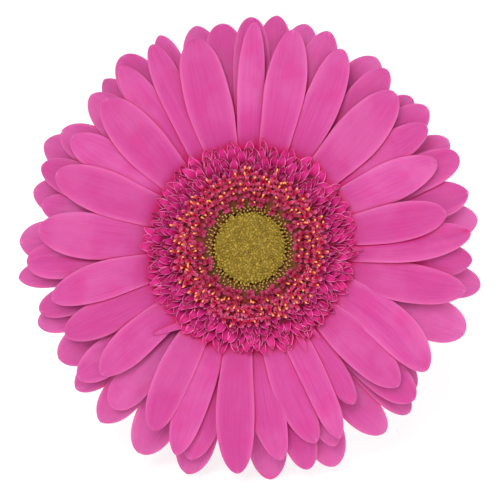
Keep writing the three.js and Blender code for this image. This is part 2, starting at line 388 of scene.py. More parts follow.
def add_blade(bunch, centre, half_width, lift, thickness, twist, tone, fine, notch=None):
    """A thin closed blade in the bloom's axes. centre holds points down its middle, half_width
    its half width at each, lift(across) how far each lengthwise line stands above the middle,
    and notch(across) how far short of the tip that line ends, as a share of the length."""
    rings = len(centre)
    along = np.linspace(0, 1, rings)
    places = np.sin(np.linspace(-1, 1, fine) * math.pi / 2)
    across = np.concatenate([places, places[-2:0:-1]])
    face = np.concatenate([np.ones(fine), -np.ones(fine - 2)])
    heading = unit(np.gradient(centre, axis=0))
    side = unit(np.cross(heading, [0, 0, 1.0]))
    over = np.cross(side, heading)
    if notch is not None:
        pull = notch(across)[None, :] * smooth(along, 0.75, 1)[:, None]
    else:
        pull = np.zeros((rings, len(across)))
    length = np.linalg.norm(np.diff(centre, axis=0), axis=1).sum()
    rise = lift(along[:, None], across[None, :])
    skin = thickness / 2 * face * np.sqrt(np.clip(1 - across ** 6, 0, 1))
    cos_twist, sin_twist = np.cos(twist)[:, None], np.sin(twist)[:, None]
    sideways = half_width[:, None] * across[None, :]
    out_of_plane = rise + skin[None, :] * (0.35 + 0.65 * smooth(half_width, 0, 1.2))[:, None]
    right = sideways * cos_twist - out_of_plane * sin_twist
    up = sideways * sin_twist + out_of_plane * cos_twist
    points = (centre[:, None] + side[:, None] * right[..., None] + over[:, None] * up[..., None]
              - heading[:, None] * (pull * length)[..., None])
    rim = np.maximum(np.abs(across)[None, :] ** 8, smooth(along, 0.9, 1)[:, None])
    bunch.add(on_part(points.reshape(-1, 3)), ring_faces(rings, len(across)),
              along=np.repeat(along, len(across)), across=np.tile(across, rings),
              rim=rim.reshape(-1), tone=tone, under=np.tile(face < 0, rings))
    return points


def bract_finish():
    leaf = Finish("bract_leaf", {"Subsurface Weight": 0.1, "Subsurface Radius": (0.5, 1.0, 0.2),
                                 "Subsurface Scale": 0.001, "Sheen Weight": 0.3})
    along = leaf.mark("along")
    across = leaf.mark("across")
    veins = leaf.noise(leaf.place(across * 5, along * 1.5, leaf.mark("tone") * 40), 4.0, 3.0)
    mottle = leaf.noise(leaf.where(), 900.0, 3.0)
    green = leaf.blend(leaf.spread(veins, 0.3, 0.7), colour(78, 112, 46), colour(124, 152, 74))
    midrib = leaf.spread(abs(across), 0.0, 0.22, 0.6, 0.0)
    green = leaf.blend(midrib, green, colour(158, 176, 104))
    green = leaf.blend(leaf.mark("rim") * 0.5, green, colour(170, 180, 120))
    green = leaf.blend(leaf.spread(along, 0.72, 1.0, 0.0, 0.75), green, colour(108, 70, 62))
    rough = leaf.spread(mottle, 0.3, 0.7, 0.45, 0.65)
    leaf.finish_with(green, rough, veins * 0.7 + mottle * 0.3, 0.0002)
    return leaf


def make_bracts():
    chance = random.Random(23)
    leaf = bract_finish()
    for order, row in enumerate(BRACT_ROWS):
        bunch = Bunch()
        for k in range(row["count"]):
            azimuth = math.radians(row["turn"] + 360 * (k + chance.uniform(-0.12, 0.12))
                                   / row["count"])
            stretch = chance.uniform(0.94, 1.04)
            path = [(r * (stretch if i == 3 else 1), z) for i, (r, z) in enumerate(row["path"])]
            r, z = bend_through(path, BRACT_RINGS)
            t = np.linspace(0, 1, BRACT_RINGS)
            centre = np.stack([r * math.sin(azimuth), r * math.cos(azimuth), z], 1)
            half = row["width"] / 2 * (0.42 + 0.58 * smooth(t, 0, 0.3)) * np.sqrt(
                np.clip(1 - smooth(t, 0.2, 1.0) ** 1.3, 0.0004, 1))
            tone = chance.random()
            tip_curl = chance.uniform(-0.1, 0.3)
            points = add_blade(
                bunch, centre, half,
                lambda a, c: 0.5 * c * c * (1 - 0.5 * a) - tip_curl * smooth(a, 0.75, 1)
                - 0.16 * np.exp(-(c / 0.12) ** 2),
                BRACT_THICKNESS, np.full(BRACT_RINGS, BRACT_TWIST), tone, BRACT_LINES)
            for _ in range(BRACT_HAIRS):
                at = points[chance.randrange(*HAIRY_RINGS), chance.randrange(*HAIRY_LINES)]
                lean = np.array([at[0], at[1], -6.0]) + np.array(
                    [chance.uniform(-5, 5) for _ in range(3)])
                add_hair(bunch, on_part(at), lean @ BLOOM_AXES, chance.uniform(0.5, 1.0) * MM, 0.5)
        node = "involucre_inner_bracts" if order == 0 else "involucre_outer_bracts"
        bunch.piece(f"bracts_row_{order + 1}", leaf, "bract_green", node)


make_bracts()


# ---- Receptacle ----
# The swollen head of the stem that every floret grows from: solid pale green flesh, hidden
# between the bracts and the petals. The CAD solid has its true shape and stays.
def receptacle_finish():
    flesh = Finish("receptacle_flesh", {"Subsurface Weight": 0.15, "Subsurface Scale": 0.002})
    grain = flesh.noise(flesh.where(), 1500.0, 4.0)
    base = flesh.blend(flesh.spread(grain, 0.3, 0.7), colour(168, 182, 120), colour(206, 214, 168))
    flesh.finish_with(base, flesh.spread(grain, 0.2, 0.8, 0.5, 0.7), grain, 0.0002)
    return flesh


receptacle_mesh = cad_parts["receptacle"].data
receptacle_mesh.materials.clear()
receptacle_mesh.materials.append(receptacle_finish().material)


# ---- Ray florets ----
# The big petals. Each is one floret: a narrow claw on the receptacle, then a long flat strap with
# a rounded tip that is often notched, two shallow furrows down it and fine veins. They lie over
# one another in three rows, and each is thin enough for light to show through.
CLAW_RADIUS = 11.4
CLAW_WIDTH = 1.5
WAIST_WIDTH = 6.4
CREST_RADIUS = 38
CREST_HEIGHT = 5
CLAW_STACK = 0.36
STACK_SPREAD = 14
PETAL_THICKNESS = 0.32
# The real petals are thinner than the CAD ones and lie closer together, by this share.
NESTLE = 0.85
TIP_ROUNDING = 0.5, 0.6
PETAL_RINGS = 46
PETAL_LINES = 17
# Half the width of the strip down a petal's middle, and the length of its claw's end, that its
# height and its azimuth are measured on.
MIDDLE_STRIP = 0.6
CLAW_END = 0.2

# The back row, clockwise from the top:
# azimuth and lean in degrees, reach from the axis, width, and depth under the front row's arch.
BACK_ROW = [
    (14.6, -0.7, 55.7, 9.1, 4.7), (32.4, 1.3, 55.1, 10.2, 5.5), (46.9, 0.3, 53.3, 8.5, 4.7),
    (61.1, 0.9, 54.5, 8.7, 5.5), (82.9, 0, 55.3, 10, 4.7), (99.5, 0, 56.4, 8.7, 5.5),
    (111.3, 0.1, 55.8, 11, 4.7), (130.2, 0.1, 52.2, 8.8, 5.5), (135.8, 0.3, 55.3, 8.1, 4.7),
    (148, -4.3, 55.3, 8.8, 5.5), (158, 0.8, 56.5, 9.6, 4.7), (175.1, -0.2, 55.9, 9.5, 5.5),
    (195.1, 0.5, 56.7, 9.5, 4.7), (208.6, -0.6, 56.3, 11, 5.5), (220.6, 0.1, 55.2, 9.9, 4.7),
    (230.8, 0, 54.1, 8.5, 5.5), (240.3, -0.5, 53.3, 10.2, 4.7), (250.1, 0, 54.4, 8.4, 5.5),
    (262.6, 0, 56.2, 7.3, 4.7), (272.2, -0.5, 55.6, 11.2, 5.5), (284.8, -0.1, 53.8, 9.9, 4.7),
    (297.1, 0, 55.7, 10.9, 5.5), (319.1, 0, 53.6, 8.2, 4.7), (345.7, 0.5, 55.2, 9.5, 5.5),
]
BACK_DROOP = 1.6
# Half-grown petals: azimuth and radius where each comes out, the same at its tip, and width.
HALF_GROWN = [(214, 20, 228.5, 30.9, 2.0), (150.5, 21, 151.5, 28.4, 1.8), (88, 21, 91.5, 27, 1.5),
              (5, 21, 6.8, 26.6, 1.5), (143.5, 20, 142.5, 27.5, 1.6)]
HALF_GROWN_RINGS = 24
HALF_GROWN_LINES = 9
HALF_GROWN_THICKNESS = 0.22
# Petals that dried creased and twisted: the crease's place across the petal and its depth, and
# the twist in radians, which tucks the left edge under the next petal.
CREASED_PETALS = {"petal_front_08": (-0.3, 1.2, 0.3), "petal_front_10": (-0.1, 1.2, 0.18),
                  "petal_middle_07": (0.1, 0.8, 0.2), "petal_middle_16": (0.2, 0.8, -0.2)}


def arch(r):
    """Height of the front row's middle line over its claws."""
    return CREST_HEIGHT * (1 - ((r - CREST_RADIUS) / (CREST_RADIUS - CLAW_RADIUS)) ** 2)


def sag_share(r):
    return ((r - CLAW_RADIUS) / (CREST_RADIUS - CLAW_RADIUS)) ** 2


def measure_petal(node):
    """What a CAD petal says of its floret: where its claw and blade point, its reach and width,
    how deep it lies under the front row's arch, and how much more it droops."""
    x, y, z = in_bloom(cad_points(node)).T
    r = np.hypot(x, y)
    tip = math.atan2(x[r.argmax()], y[r.argmax()])
    azimuth = np.degrees((np.arctan2(x, y) - tip + math.pi) % (2 * math.pi) - math.pi + tip)
    reach = r.max()
    blade = r > CLAW_RADIUS + STACK_SPREAD
    share = ((r[blade] - CLAW_RADIUS) / (reach - CLAW_RADIUS)) ** 2
    lean, middle = np.polyfit(share, azimuth[blade], 1)
    offset = np.radians(azimuth[blade] - middle - lean * share) * r[blade]
    centre = np.abs(offset) < MIDDLE_STRIP
    droop, depth = np.polyfit(sag_share(r[blade][centre]),
                              arch(r[blade][centre]) - z[blade][centre], 1)
    claw = azimuth[r < CLAW_RADIUS + CLAW_END].mean()
    return {"claw": claw, "azimuth": middle, "lean": lean, "reach": reach,
            "width": 2 * np.abs(offset).max(), "depth": depth * NESTLE, "droop": droop}


def petal_finish(name, dusk):
    """Satin pink: deeper towards the claw, with a crimson painted shade where petals crowd together
    and a pale painted highlight along the rim, paler on the back, with veins along it. Dusk is how
    far the blade has faded to a dusty lilac."""
    satin = Finish(name, {"Subsurface Weight": 0.6, "Subsurface Radius": (1.0, 0.15, 0.4),
                          "Subsurface Scale": 0.0005, "Specular IOR Level": 0.2, "IOR": 1.38})
    along = satin.mark("along")
    across = satin.mark("across")
    tone = satin.mark("tone")
    veins = satin.noise(satin.place(across * 3.5, along * 0.9, tone * 60), 4.0, 3.0)
    fine_veins = satin.noise(satin.place(across * 16, along * 1.6, tone * 60), 6.0, 2.0)
    clouds = satin.noise(satin.where(), 90.0, 3.0)
    flush = satin.noise(satin.where(), 160.0, 2.0)
    grain = satin.noise(satin.where(), 3000.0, 2.0)
    pink = satin.blend(satin.spread(veins, 0.3, 0.72), colour(181, 60, 132), colour(188, 73, 143))
    pink = satin.blend(satin.spread(fine_veins, 0.5, 0.75, 0, 0.15), pink, colour(158, 42, 109))
    pink = satin.blend(satin.spread(clouds, 0.42, 0.66, 0, 0.5), pink, colour(196, 98, 158))
    pink = satin.blend(satin.spread(flush, 0.5, 0.72, 0, 0.4), pink, colour(190, 48, 126))
    pink = satin.blend(satin.spread(along, 0.1, 0.38, 0.6, 0), pink, colour(168, 36, 108))
    pink = satin.blend(satin.spread(along, 0.8, 1.0, 0, 0.3), pink, colour(206, 96, 160))
    pink = satin.blend(satin.spread(tone, 0, 1, 0.5, 0), pink, colour(168, 44, 116))
    pink = satin.blend(satin.spread(along, 0.5, 0.9, 0, dusk), pink, colour(190, 100, 156))
    # Painted highlight: a paler line along the petal's edges and tip.
    pink = satin.blend(satin.mark("rim") * 0.5, pink, colour(214, 118, 174))
    # Painted shade: crimson where the petals crowd together, from ambient occlusion.
    pink = satin.blend(satin.painted_crevice_shade(0.0035, 0.25, 0.85), pink, colour(200, 8, 92))
    back = satin.blend(satin.spread(veins, 0.35, 0.65), colour(216, 138, 180), colour(198, 104, 156))
    pink = satin.blend(satin.mark("under") * satin.spread(along, 0.1, 0.7, 0.95, 0.75), pink, back)
    rough = satin.spread(fine_veins + grain * 0.4, 0.5, 0.9, 0.42, 0.56)
    satin.finish_with(pink, rough, veins * 0.8 + fine_veins * 0.08 + grain * 0.12, 0.00014)
    return satin


def make_petal(name, petal, chance, finish, node):
    """One ray floret as a closed, gently furrowed strap."""
    share = 1 - (1 - np.linspace(0, 1, PETAL_RINGS)) ** 1.7
    r = CLAW_RADIUS + (petal["reach"] - CLAW_RADIUS) * share
    swing = (petal["claw"] - petal["azimuth"]) * (1 - smooth(share, 0, 0.3))
    sway = chance.uniform(-0.7, 0.7)
    angle = np.radians(petal["azimuth"] + petal["lean"] * share ** 2 + swing
                       + sway * np.sin(share * math.pi))
    fan = CLAW_STACK + (1 - CLAW_STACK) * smooth(r, CLAW_RADIUS, CLAW_RADIUS + STACK_SPREAD)
    height = arch(r) - petal["depth"] * fan - petal["droop"] * sag_share(r)
    height = height + chance.uniform(0.05, 0.2) * np.sin(share * chance.uniform(6, 11)
                                                         + chance.uniform(0, 6))
    centre = np.stack([r * np.sin(angle), r * np.cos(angle), height], 1)
    front = name.startswith("petal_front")
    blunt = chance.uniform(2.0, 2.6) if front else chance.uniform(2.4, 2.8)
    shoulder = chance.uniform(0.63, 0.69) if front else chance.uniform(0.73, 0.77)
    waist = min(max(WAIST_WIDTH, 0.68 * petal["width"]), petal["width"])
    width = (CLAW_WIDTH + (waist - CLAW_WIDTH) * smooth(share, -0.04, 0.34)
             + (petal["width"] - waist) * smooth(share, 0.16, 0.66))
    tip = np.clip((share - shoulder) / (1 - shoulder), 0, 0.9985)
    half = width / 2 * (1 - tip ** blunt) ** chance.uniform(*TIP_ROUNDING)
    half = np.maximum(half * (1 + 0.02 * np.sin(share * chance.uniform(9, 16))), 0.02)
    half[share < 0.02] = np.maximum(half[share < 0.02], CLAW_WIDTH / 2)
    crown = chance.uniform(0.15, 0.5)
    furrow = chance.uniform(0.12, 0.3)
    places = chance.uniform(0.24, 0.45), chance.uniform(-0.45, -0.24)
    buckle, buckle_place = chance.uniform(0.05, 0.18), chance.uniform(0, 6)
    crease_place, crease_depth, twist = CREASED_PETALS.get(name, (0, 0, 0))
    tilt = twist + chance.uniform(-0.07, 0.07)
    curl = chance.uniform(-0.1, 0.5)
    notch_place = chance.uniform(-0.25, 0.25)
    notch_depth = chance.choice([0, 0.004, 0.008, 0.014, 0.02])

    def lift(along, across):
        deep = smooth(along, 0.15, 0.4) * (1 - 0.6 * smooth(along, 0.85, 1))
        furrows = sum(np.exp(-((across - place) / 0.14) ** 2) for place in places)
        buckled = buckle * across * np.sin(along * 9 + buckle_place)
        crease = crease_depth * np.clip(1 - np.abs(across - crease_place) / 0.5, 0, 1)
        return (-(crown * across ** 2 + furrow * furrows + crease + buckled) * deep
                - curl * smooth(along, 0.86, 1))

    bunch = Bunch()
    add_blade(bunch, centre, half, lift, PETAL_THICKNESS,
              tilt * smooth(share, 0.2, 0.7), chance.random(), PETAL_LINES,
              notch=lambda a: notch_depth * np.exp(-((a - notch_place) / 0.22) ** 2))
    bunch.piece(name, finish, "petal_pink", node)


def half_grown_petals():
    """Half-grown ray florets: narrow pink tongues that slipped out over the front petals."""
    chance = random.Random(5)
    bunch = Bunch()
    t = np.linspace(0, 1, HALF_GROWN_RINGS)
    for azimuth, r, tip_azimuth, tip_r, width in HALF_GROWN:
        ends = np.radians([azimuth, tip_azimuth])
        x = r * math.sin(ends[0]) + (tip_r * math.sin(ends[1]) - r * math.sin(ends[0])) * t
        y = r * math.cos(ends[0]) + (tip_r * math.cos(ends[1]) - r * math.cos(ends[0])) * t
        height = arch(np.hypot(x, y)) + 0.7 + 0.35 * np.sin(t * 5)
        half = width / 2 * smooth(t, -0.5, 0.4) * np.sqrt(1 - np.clip(t - 0.3, 0, 0.697) / 0.7)
        add_blade(bunch, np.stack([x, y, height], 1), half, lambda a, c: 0.3 * c * c,
                  HALF_GROWN_THICKNESS, np.full(HALF_GROWN_RINGS, chance.uniform(-0.5, 0.5)),
                  chance.random(), HALF_GROWN_LINES)
    return bunch


def make_petals():
    chance = random.Random(7)
    finish = petal_finish("petal_satin", 0.1)
    faded = petal_finish("back_petal_satin", 0.4)
    for node in sorted(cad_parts):
        if node.startswith("ray_floret_"):
            make_petal(node.replace("ray_floret", "petal"), measure_petal(node), chance,
                       finish, node)
    step = 360 / len(BACK_ROW)
    for k, (azimuth, lean, reach, width, depth) in enumerate(BACK_ROW):
        petal = {"claw": BACK_ROW[0][0] + k * step, "azimuth": azimuth, "lean": lean,
                 "reach": reach, "width": width, "depth": depth * NESTLE, "droop": BACK_DROOP}
        make_petal(f"petal_back_{k + 1:02d}", petal, chance, faded, "ray_florets_outer_row")
    half_grown_petals().piece("half_grown_petals", finish, "petal_pink", "trans_florets_outer")


make_petals()


# ---- Trans florets ----
# Between the petals and the disc stand six rows of small florets with short scoop-shaped
# tongues. They are packed like scales, magenta inside with a pale rim, and the inner rows stand
# steeper and higher.
TRANS_ROWS = [
    {"reach": 25.4, "height": 5.0, "count": 68, "tongue": 6.4, "width": 2.4, "slope": 12},
    {"reach": 24.3, "height": 5.8, "count": 72, "tongue": 6.0, "width": 2.25, "slope": 17},
    {"reach": 23.0, "height": 6.5, "count": 72, "tongue": 5.5, "width": 2.15, "slope": 21},
    {"reach": 21.7, "height": 7.2, "count": 70, "tongue": 5.0, "width": 2.05, "slope": 26},
    {"reach": 20.3, "height": 7.9, "count": 68, "tongue": 4.5, "width": 1.95, "slope": 31},
    {"reach": 18.9, "height": 8.6, "count": 64, "tongue": 4.1, "width": 1.85, "slope": 37},
]
SCOOP_RINGS = 20
SCOOP_LINES = 11
SCOOP_CUP = 0.6
SCOOP_THICKNESS = 0.2
TUBE_RADIUS = 0.42


def floret_finish(name, shade, deep, bright, rim, edging):
    """Floret flesh: deep in the throat, brighter along the tongue, with a pale rim and tip, and the
    shade colour painted in as shade where the florets crowd together. Edging is how strongly the rim
    shows."""
    flesh = Finish(name, {"Subsurface Weight": 0.25, "Subsurface Radius": (1.0, 0.2, 0.45),
                          "Subsurface Scale": 0.0004, "Specular IOR Level": 0.2, "IOR": 1.38})
    along = flesh.mark("along")
    tone = flesh.mark("tone")
    across = flesh.mark("across")
    veins = flesh.noise(flesh.place(across * 3, along * 1.2, tone * 50), 4.0, 2.0)
    grain = flesh.noise(flesh.where(), 2600.0, 2.0)
    body = flesh.blend(flesh.spread(along, 0.35, 0.95), deep, bright)
    body = flesh.blend(flesh.spread(veins, 0.4, 0.75, 0, 0.35), body, deep)
    body = flesh.blend(tone * 0.25, body, bright)
    # Painted shade: the shade colour where the florets crowd together, from ambient occlusion.
    body = flesh.blend(flesh.painted_crevice_shade(0.0013, 0.2, 0.8), body, shade)
    edge = flesh.spread(abs(across), 0.76, 0.97) + flesh.spread(along, 0.9, 1.0, 0, 0.6)
    worn = flesh.spread(flesh.noise(flesh.where(), 500.0, 2.0), 0.3, 0.65, 0.5 * edging, edging)
    body = flesh.blend(edge * flesh.spread(along, 0.4, 0.8) * worn, body, rim)
    flesh.finish_with(body, flesh.spread(grain, 0.3, 0.7, 0.4, 0.55), veins * 0.6 + grain * 0.4,
                      0.0001)
    return flesh


def add_scoop(bunch, azimuth, base, reach, height, tongue, width, slope, swing, chance):
    """A small floret: a slim tube from the receptacle, opening into a scoop-shaped tongue."""
    slope = math.radians(slope)
    throat = (reach - tongue * math.cos(slope), height - tongue * math.sin(slope))
    middle = (reach - 0.45 * tongue * math.cos(slope * 1.1),
              height - 0.45 * tongue * math.sin(slope * 1.1) + 0.25)
    r, z = bend_through([base, throat, middle, (reach, height)], SCOOP_RINGS, 1.15)
    t = np.linspace(0, 1, SCOOP_RINGS)
    angle = azimuth + math.radians(swing) * t * t
    centre = np.stack([r * np.sin(angle), r * np.cos(angle), z], 1)
    open_share = smooth(t, 0.3, 0.66)
    tip = np.clip((t - 0.52) / 0.48, 0, 0.997)
    half = TUBE_RADIUS + (width / 2 - TUBE_RADIUS) * open_share
    half = half * (1 - tip ** chance.uniform(1.6, 2.2)) ** 0.75
    rim_lift = SCOOP_CUP * chance.uniform(0.7, 1.3)
    hood = chance.uniform(-0.5, 0.6)

    def lift(along, across):
        return rim_lift * across ** 2 * smooth(along, 0.3, 0.7) + hood * smooth(along, 0.8, 1)

    add_blade(bunch, centre, half, lift, SCOOP_THICKNESS,
              np.full(SCOOP_RINGS, chance.uniform(-0.3, 0.3)), chance.random(), SCOOP_LINES)


def make_trans_florets():
    chance = random.Random(41)
    # The first colour is the painted shade where the florets crowd together.
    finish = floret_finish("trans_floret_flesh", colour(150, 0, 50), colour(158, 4, 76),
                           colour(206, 46, 136), colour(252, 138, 196), 1.0)
    for order, row in enumerate(TRANS_ROWS):
        bunch = Bunch()
        for k in range(row["count"]):
            azimuth = 2 * math.pi * (k + 0.5 * (order % 2) + chance.uniform(-0.16, 0.16))
            azimuth /= row["count"]
            add_scoop(bunch, azimuth, (10.4 - 0.3 * order, 0.8 + 0.1 * order),
                      row["reach"] + chance.gauss(0, 0.45), row["height"] + chance.gauss(0, 0.2),
                      row["tongue"], row["width"] * chance.uniform(0.85, 1.12),
                      row["slope"] + chance.gauss(0, 5), chance.uniform(-5, 5), chance)
        node = "trans_florets_outer" if order < 3 else "trans_florets_inner"
        bunch.piece(f"trans_florets_row_{order + 1}", finish, "trans_floret_pink", node)


make_trans_florets()


# ---- Open disc florets ----
# Inside the scoops the disc florets have opened: slim crimson tubes with small curled lobes, and
# out of each one a column of joined anthers tipped with orange pollen.
DISC_ROWS = [
    {"radius": 17.0, "height": 9.8, "count": 54, "lobe": 1.15, "pale": True, "pollen": 0.4},
    {"radius": 15.7, "height": 10.0, "count": 50, "lobe": 1.15, "pale": True, "pollen": 0.6},
    {"radius": 14.4, "height": 9.9, "count": 42, "lobe": 1.2, "pale": True, "pollen": 0.9},
    {"radius": 12.8, "height": 9.6, "count": 31, "lobe": 1.3, "pale": False, "pollen": 1.0},
    {"radius": 11.2, "height": 9.2, "count": 24, "lobe": 1.15, "pale": False, "pollen": 1.0},
]
# The mat between the florets: radius and height across its top.
BED_TOP = [(8.7, 6.7), (10.6, 7.2), (12, 7.7), (14, 8.0), (16.5, 7.4), (18.5, 6.2), (21, 4.6),
           (23.4, 3.4)]
BED_KNOBS = 0.7
BED_SIDES = 300
BED_RINGS = 44
LOBE_RINGS = 10
LOBE_LINES = 7
LOBE_THICKNESS = 0.14
PEG_SIDES = 8
# How far inside its tube an anther column starts, and its radius at heights above that.
ANTHER_ROOT = 1.2
ANTHER_PROFILE = [(0.12, 0), (0.15, 1.6), (0.21, 2.3), (0.24, 3.0), (0.12, 3.3)]


def outward_at(azimuth):
    """The direction straight away from the bloom's axis at that azimuth, in radians."""
    return np.array([math.sin(azimuth), math.cos(azimuth), 0])


def add_peg(bunch, foot, axis, profile, sides, tone):
    """A turned peg in the bloom's axes: profile holds (radius, height) points up its axis."""
    axis = unit(np.asarray(axis, float))
    first = unit(np.cross(axis, [0.3, 0.5, 0.81]))
    second = np.cross(axis, first)
    turn = np.linspace(0, 2 * math.pi, sides, endpoint=False)
    rings = [np.asarray(foot) + axis * h + radius * (np.cos(turn)[:, None] * first
                                                     + np.sin(turn)[:, None] * second)
             for radius, h in profile]
    heights = np.array([h for _, h in profile])
    along = (heights - heights[0]) / (heights[-1] - heights[0])
    bunch.add(on_part(np.concatenate(rings)), ring_faces(len(profile), sides),
              along=np.repeat(along, sides), tone=tone)


def add_lobe(bunch, mouth, way, length, width, drop, chance, tone):
    """A small pointed lobe that starts at the mouth of a tube and curls over, the given way."""
    t = np.linspace(0, 1, LOBE_RINGS)[:, None]
    sideways = np.array([way[1], -way[0], 0]) * chance.uniform(-0.3, 0.3)
    centre = (mouth + way * length * np.sin(t * 1.5) + sideways * length * t ** 2
              + np.array([0, 0, 1.0]) * (0.5 * np.sin(t * 2.4) - drop * t ** 2))
    t = t[:, 0]
    half = width / 2 * (0.5 + 0.5 * smooth(t, 0, 0.4)) * np.sqrt(np.clip(1 - t ** 2.4, 0.001, 1))
    add_blade(bunch, centre, half, lambda a, c: 0.25 * c ** 2, LOBE_THICKNESS,
              np.full(LOBE_RINGS, chance.uniform(-0.5, 0.5)), tone, LOBE_LINES)


def anther_finish():
    """Anthers: brown-orange below, coated with bright pollen at the tip."""
    dust = Finish("anther_pollen", {"Subsurface Weight": 0.1, "Subsurface Scale": 0.0005})
    along = dust.mark("along")
    grains = dust.noise(dust.where(), 5000.0, 2.0)
    base = dust.blend(dust.spread(along, 0.25, 0.8), colour(150, 44, 26), colour(220, 110, 44))
    base = dust.blend(dust.spread(along + grains * 0.3, 0.9, 1.15), base, colour(246, 162, 88))
    dust.finish_with(base, dust.spread(grains, 0.3, 0.7, 0.6, 0.85), grains, 0.0001)
    return dust


def bed_finish():
    """The mat of bristles and tube walls between the florets: olive-brown at its inner edge,
    then maroon, and magenta outside."""
    mat = Finish("floret_bed", {"Subsurface Weight": 0.1, "Subsurface Scale": 0.0005,
                                "Specular IOR Level": 0.2})
    along = mat.mark("along")
    clumps = mat.noise(mat.where(), 900.0, 3.0)
    grain = mat.noise(mat.where(), 4000.0, 2.0)
    base = mat.blend(mat.spread(along, 0.05, 0.35), colour(92, 66, 22), colour(128, 24, 36))
    base = mat.blend(mat.spread(along, 0.4, 0.75), base, colour(116, 0, 54))
    base = mat.blend(mat.spread(clumps, 0.35, 0.65, 0, 0.3), base, colour(150, 50, 56))
    mat.finish_with(base, mat.spread(grain, 0.3, 0.7, 0.5, 0.7), clumps * 0.5 + grain * 0.5,
                    0.0003)
    return mat


def make_bed():
    """A closed ring under the florets' mouths, knobbly on top with bristle ends."""
    chance = np.random.default_rng(17)
    turn = np.linspace(0, 2 * math.pi, BED_SIDES, endpoint=False)
    steps = np.linspace(BED_TOP[0][0], BED_TOP[-1][0], BED_RINGS)
    top = [(r, np.interp(r, *zip(*BED_TOP)), BED_KNOBS) for r in steps]
    under = [(22.6, 2.9, 0), (16, 2.2, 0), (9.6, 1.2, 0), (8.4, 3.0, 0)]
    rings = []
    for r, z, knobs in top + under:
        around = np.full(BED_SIDES, z) + knobs * chance.random(BED_SIDES)
        rings.append(np.stack([r * np.sin(turn), r * np.cos(turn), around], 1))
    size = len(rings) * BED_SIDES
    faces = [tuple(corner % size for corner in face)
             for face in ring_faces(len(rings) + 1, BED_SIDES, False, False)]
    share = np.concatenate([np.linspace(0, 1, len(top)), np.linspace(1, 0, len(under))])
    bunch = Bunch()
    bunch.add(on_part(np.concatenate(rings)), faces, along=np.repeat(share, BED_SIDES))
    bunch.piece("floret_bed", bed_finish(), "disc_floret_pink", "open_disc_florets")


def make_disc_florets():
    chance = random.Random(59)
    corollas, pale_corollas, anthers = Bunch(), Bunch(), Bunch()
    for order, row in enumerate(DISC_ROWS):
        bunch = pale_corollas if row["pale"] else corollas
        lobes = [(0, 1.0), (2.2, 0.85), (-2.2, 0.85)] if row["pale"] else [
            (0.45, 1.2), (-0.45, 1.2), (2.5, 1.0), (-2.5, 1.0)]
        for k in range(row["count"]):
            azimuth = 2 * math.pi * (k + 0.5 * (order % 2) + chance.uniform(-0.25, 0.25))
            azimuth /= row["count"]
            radius = row["radius"] + chance.gauss(0, 0.35)
            height = row["height"] + chance.gauss(0, 0.3)
            way = outward_at(azimuth)
            foot = way * radius * 0.66 + [0, 0, 1.6]
            mouth = way * radius + [0, 0, height]
            tube = np.linalg.norm(mouth - foot)
            tone = chance.random()
            add_peg(bunch, foot, mouth - foot, [(0.25, 0), (0.34, tube * 0.5),
                                                (0.42, tube * 0.85), (0.5, tube)], PEG_SIDES, tone)
            for turned, width in lobes:
                bearing = azimuth + turned + chance.uniform(-0.4, 0.4)
                add_lobe(bunch, mouth, outward_at(bearing), row["lobe"] * chance.uniform(0.75, 1.1),
                         width, chance.uniform(0.2, 0.9), chance, tone)
            if chance.random() < row["pollen"]:
                lean = way * chance.uniform(0.0, 0.8) + [chance.gauss(0, 0.2),
                                                           chance.gauss(0, 0.2), 1]
                add_peg(anthers, mouth - [0, 0, ANTHER_ROOT], lean, ANTHER_PROFILE, PEG_SIDES, tone)
    # The first colour of each finish is the painted shade where the florets crowd together.
    pale = floret_finish("curled_lobe_flesh", colour(150, 0, 34), colour(160, 8, 52),
                         colour(224, 84, 138), colour(255, 184, 208), 1.0)
    rosy = floret_finish("disc_floret_flesh", colour(112, 14, 22), colour(140, 18, 46),
                         colour(196, 68, 120), colour(234, 136, 170), 0.5)
    pale_corollas.piece("curled_disc_florets", pale, "disc_floret_pink", "open_disc_florets")
    corollas.piece("open_disc_florets_inner", rosy, "disc_floret_pink", "open_disc_florets")
    anthers.piece("anther_columns", anther_finish(), "disc_floret_pink", "open_disc_florets")


make_bed()
make_disc_florets()


# ---- Closed buds of the disc ----
# The middle of the disc is still in bud: hundreds of tiny closed florets in crossing spirals,
# olive and granular, with a ring of taller buds round them on thin brown stalks, straw-coloured
# at the tip.
BUD_COUNT = 620
BUD_FIELD = 8.3
BUD_RADIUS = 0.34
BUD_HEIGHT = 0.75
BUD_SIDES = 7
CUSHION_SIDES = 48
# The rings of taller buds: radius, count and height.
RING_BUDS = [(8.6, 58, 8.2), (9.2, 60, 8.3), (9.8, 62, 8.4), (10.4, 50, 8.4)]
RING_BUD_FOOT = 4.0
GOLDEN_ANGLE = math.pi * (3 - math.sqrt(5))


def bud_finish():
    olive = Finish("bud_skin", {"Subsurface Weight": 0.15, "Subsurface Radius": (1.0, 0.8, 0.2),
                                "Subsurface Scale": 0.0005, "Specular IOR Level": 0.2})
    along = olive.mark("along")
    tone = olive.mark("tone")
    grain = olive.noise(olive.where(), 3000.0, 3.0)
    base = olive.blend(tone, colour(106, 86, 8), colour(160, 134, 48))
    base = olive.blend(olive.spread(grain, 0.35, 0.7, 0, 0.4), base, colour(164, 138, 62))
    base = olive.blend(olive.spread(along, 0.2, 0.75, 0.5, 0), base, colour(104, 84, 16))
    olive.finish_with(base, olive.spread(grain, 0.3, 0.7, 0.5, 0.7), grain, 0.00015)
    return olive


